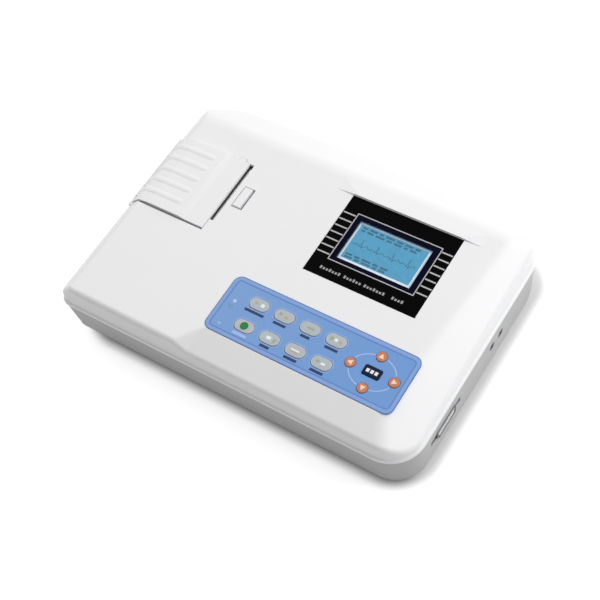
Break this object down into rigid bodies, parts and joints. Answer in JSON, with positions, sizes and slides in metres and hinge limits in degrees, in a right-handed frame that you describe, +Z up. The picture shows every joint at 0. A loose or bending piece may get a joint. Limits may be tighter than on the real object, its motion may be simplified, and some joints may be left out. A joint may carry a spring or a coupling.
{
  "type": "portable electrocardiograph",
  "caption": "Low desk-top heart-trace recorder: white tilted lid with display, blue keypad and hinged strip-printer cover on a grey base with a patient socket.",
  "frame": {"origin": "on the desk under the middle of the case, midway between its sides and between its front and back", "axes": "+X to the right along the front, +Y to the back, +Z up"},
  "size_m": [0.288, 0.21, 0.0681],
  "materials": {
    "case_white": "satin gloss",
    "case_grey": "fine matte",
    "rubber": "matte",
    "steel": "plain",
    "battery_wrap": "shrink film",
    "circuit_board": "solder mask",
    "black_plastic": "moulded",
    "brass": "plated",
    "rocker_black": "gloss",
    "bezel_black": "gloss print",
    "clear_window": "clear",
    "lcd_blue": "back-lit",
    "keypad_blue": "printed film",
    "light_green": "lens",
    "gear_white": "acetal",
    "dark_zinc": "dark plating",
    "socket_grey": "moulded",
    "jack_grey": "moulded",
    "motor_can": "zinc",
    "head_ceramic": "glazed strip",
    "aluminium": "extruded",
    "bay_grey": "moulded",
    "paper": "thermal paper",
    "key_cream": "soft touch",
    "key_orange": "soft touch",
    "key_black": "soft touch"
  },
  "bodies": {
    "base": {"top_shell": "case_white", "bottom_shell": "case_grey", "rubber_feet": "rubber", "case_screws": "steel", "short_screws": "steel", "battery_cover": "case_grey", "battery_pack": "battery_wrap", "main_board": "circuit_board", "main_board_parts": "black_plastic", "beeper": "black_plastic", "power_board": "circuit_board", "power_board_parts": "black_plastic", "mains_inlet": "black_plastic", "mains_inlet_pins": "brass", "power_switch_frame": "black_plastic", "ground_post": "steel", "patient_connector_shell": "dark_zinc", "patient_connector_insert": "socket_grey", "connector_jackscrews": "dark_zinc", "signal_jacks": "jack_grey", "display_bezel": "bezel_black", "display_window": "clear_window", "lcd_frame": "steel", "lcd_glass": "lcd_blue", "lcd_board": "circuit_board", "keypad_overlay": "keypad_blue", "keypad_board": "circuit_board", "dome_switches": "steel", "indicator_lights": "light_green", "cover_hinge_pin": "steel", "stepper_motor": "motor_can", "print_head": "head_ceramic", "print_head_sink": "aluminium", "printer_frame": "steel", "paper_bay": "bay_grey"},
    "key_f1": {"key_f1": "key_cream"},
    "key_f2": {"key_f2": "key_cream"},
    "key_f3": {"key_f3": "key_cream"},
    "key_f4": {"key_f4": "key_cream"},
    "key_f5": {"key_f5": "key_cream"},
    "key_f6": {"key_f6": "key_cream"},
    "key_f7": {"key_f7": "key_cream"},
    "key_f8": {"key_f8": "key_cream"},
    "key_up": {"key_up": "key_orange"},
    "key_down": {"key_down": "key_orange"},
    "key_left": {"key_left": "key_orange"},
    "key_right": {"key_right": "key_orange"},
    "key_center": {"key_center": "key_black"},
    "release_button": {"release_button": "case_white"},
    "latch": {"latch_slider": "gear_white"},
    "printer_cover": {"printer_cover": "case_white"},
    "platen": {"platen_roller": "rubber", "platen_shaft": "steel", "platen_gear": "gear_white"},
    "idler": {"idler_gear": "gear_white"},
    "pinion": {"motor_pinion": "brass"},
    "paper": {"paper_roll": "paper", "paper_spindle": "gear_white"},
    "rocker": {"power_rocker": "rocker_black"}
  },
  "joints": [
    {"name": "key_f1_press", "type": "slide", "parent": "base", "child": "key_f1", "axis": [0, 0.0384, -0.9993], "range_m": [0, 0.0006], "stiffness_N_per_m": 600, "springref_m": -0.0008},
    {"name": "key_f2_press", "type": "slide", "parent": "base", "child": "key_f2", "axis": [0, 0.0384, -0.9993], "range_m": [0, 0.0006], "stiffness_N_per_m": 600, "springref_m": -0.0008},
    {"name": "key_f3_press", "type": "slide", "parent": "base", "child": "key_f3", "axis": [0, 0.0384, -0.9993], "range_m": [0, 0.0006], "stiffness_N_per_m": 600, "springref_m": -0.0008},
    {"name": "key_f4_press", "type": "slide", "parent": "base", "child": "key_f4", "axis": [0, 0.0384, -0.9993], "range_m": [0, 0.0006], "stiffness_N_per_m": 600, "springref_m": -0.0008},
    {"name": "key_f5_press", "type": "slide", "parent": "base", "child": "key_f5", "axis": [0, 0.0384, -0.9993], "range_m": [0, 0.0006], "stiffness_N_per_m": 600, "springref_m": -0.0008},
    {"name": "key_f6_press", "type": "slide", "parent": "base", "child": "key_f6", "axis": [0, 0.0384, -0.9993], "range_m": [0, 0.0006], "stiffness_N_per_m": 600, "springref_m": -0.0008},
    {"name": "key_f7_press", "type": "slide", "parent": "base", "child": "key_f7", "axis": [0, 0.0384, -0.9993], "range_m": [0, 0.0006], "stiffness_N_per_m": 600, "springref_m": -0.0008},
    {"name": "key_f8_press", "type": "slide", "parent": "base", "child": "key_f8", "axis": [0, 0.0384, -0.9993], "range_m": [0, 0.0006], "stiffness_N_per_m": 600, "springref_m": -0.0008},
    {"name": "key_up_press", "type": "slide", "parent": "base", "child": "key_up", "axis": [0, 0.0384, -0.9993], "range_m": [0, 0.0006], "stiffness_N_per_m": 600, "springref_m": -0.0008},
    {"name": "key_down_press", "type": "slide", "parent": "base", "child": "key_down", "axis": [0, 0.0384, -0.9993], "range_m": [0, 0.0006], "stiffness_N_per_m": 600, "springref_m": -0.0008},
    {"name": "key_left_press", "type": "slide", "parent": "base", "child": "key_left", "axis": [0, 0.0384, -0.9993], "range_m": [0, 0.0006], "stiffness_N_per_m": 600, "springref_m": -0.0008},
    {"name": "key_right_press", "type": "slide", "parent": "base", "child": "key_right", "axis": [0, 0.0384, -0.9993], "range_m": [0, 0.0006], "stiffness_N_per_m": 600, "springref_m": -0.0008},
    {"name": "key_center_press", "type": "slide", "parent": "base", "child": "key_center", "axis": [0, 0.0384, -0.9993], "range_m": [0, 0.0006], "stiffness_N_per_m": 600, "springref_m": -0.0008},
    {"name": "release_press", "type": "slide", "parent": "base", "child": "release_button", "axis": [0, 0.0384, -0.9993], "range_m": [0, 0.002], "stiffness_N_per_m": 400, "springref_m": -0.001},
    {"name": "latch_slide", "type": "slide", "parent": "base", "child": "latch", "axis": [1, 0, 0], "range_m": [0, 0.002]},
    {"name": "cover_hinge", "type": "hinge", "parent": "base", "child": "printer_cover", "pos_m": [-0.14, 0.01709, 0.05478], "axis": [0, -0.9993, -0.0384], "range_deg": [0, 100]},
    {"name": "platen_spin", "type": "hinge", "parent": "printer_cover", "child": "platen", "pos_m": [-0.0795, 0.02113, 0.05634], "axis": [0, 0.9993, 0.0384], "continuous": true},
    {"name": "idler_spin", "type": "hinge", "parent": "base", "child": "idler", "pos_m": [-0.0795, -0.01082, 0.0441], "axis": [0, 0.9993, 0.0384], "continuous": true},
    {"name": "pinion_spin", "type": "hinge", "parent": "base", "child": "pinion", "pos_m": [-0.07193, -0.01067, 0.04025], "axis": [0, 0.9993, 0.0384], "continuous": true},
    {"name": "paper_spin", "type": "hinge", "parent": "base", "child": "paper", "pos_m": [-0.1075, 0.02288, 0.03689], "axis": [0, 0.9993, 0.0384], "continuous": true},
    {"name": "rocker_tilt", "type": "hinge", "parent": "base", "child": "rocker", "pos_m": [0.025, 0.0994, 0.021], "axis": [1, 0, 0], "range_deg": [0, 20]}
  ],
  "couplings": [
    {"joint": "latch_slide", "follows": "release_press", "ratio": 1},
    {"joint": "idler_spin", "follows": "platen_spin", "ratio": -1.2},
    {"joint": "pinion_spin", "follows": "platen_spin", "ratio": 1.7143}
  ]
}
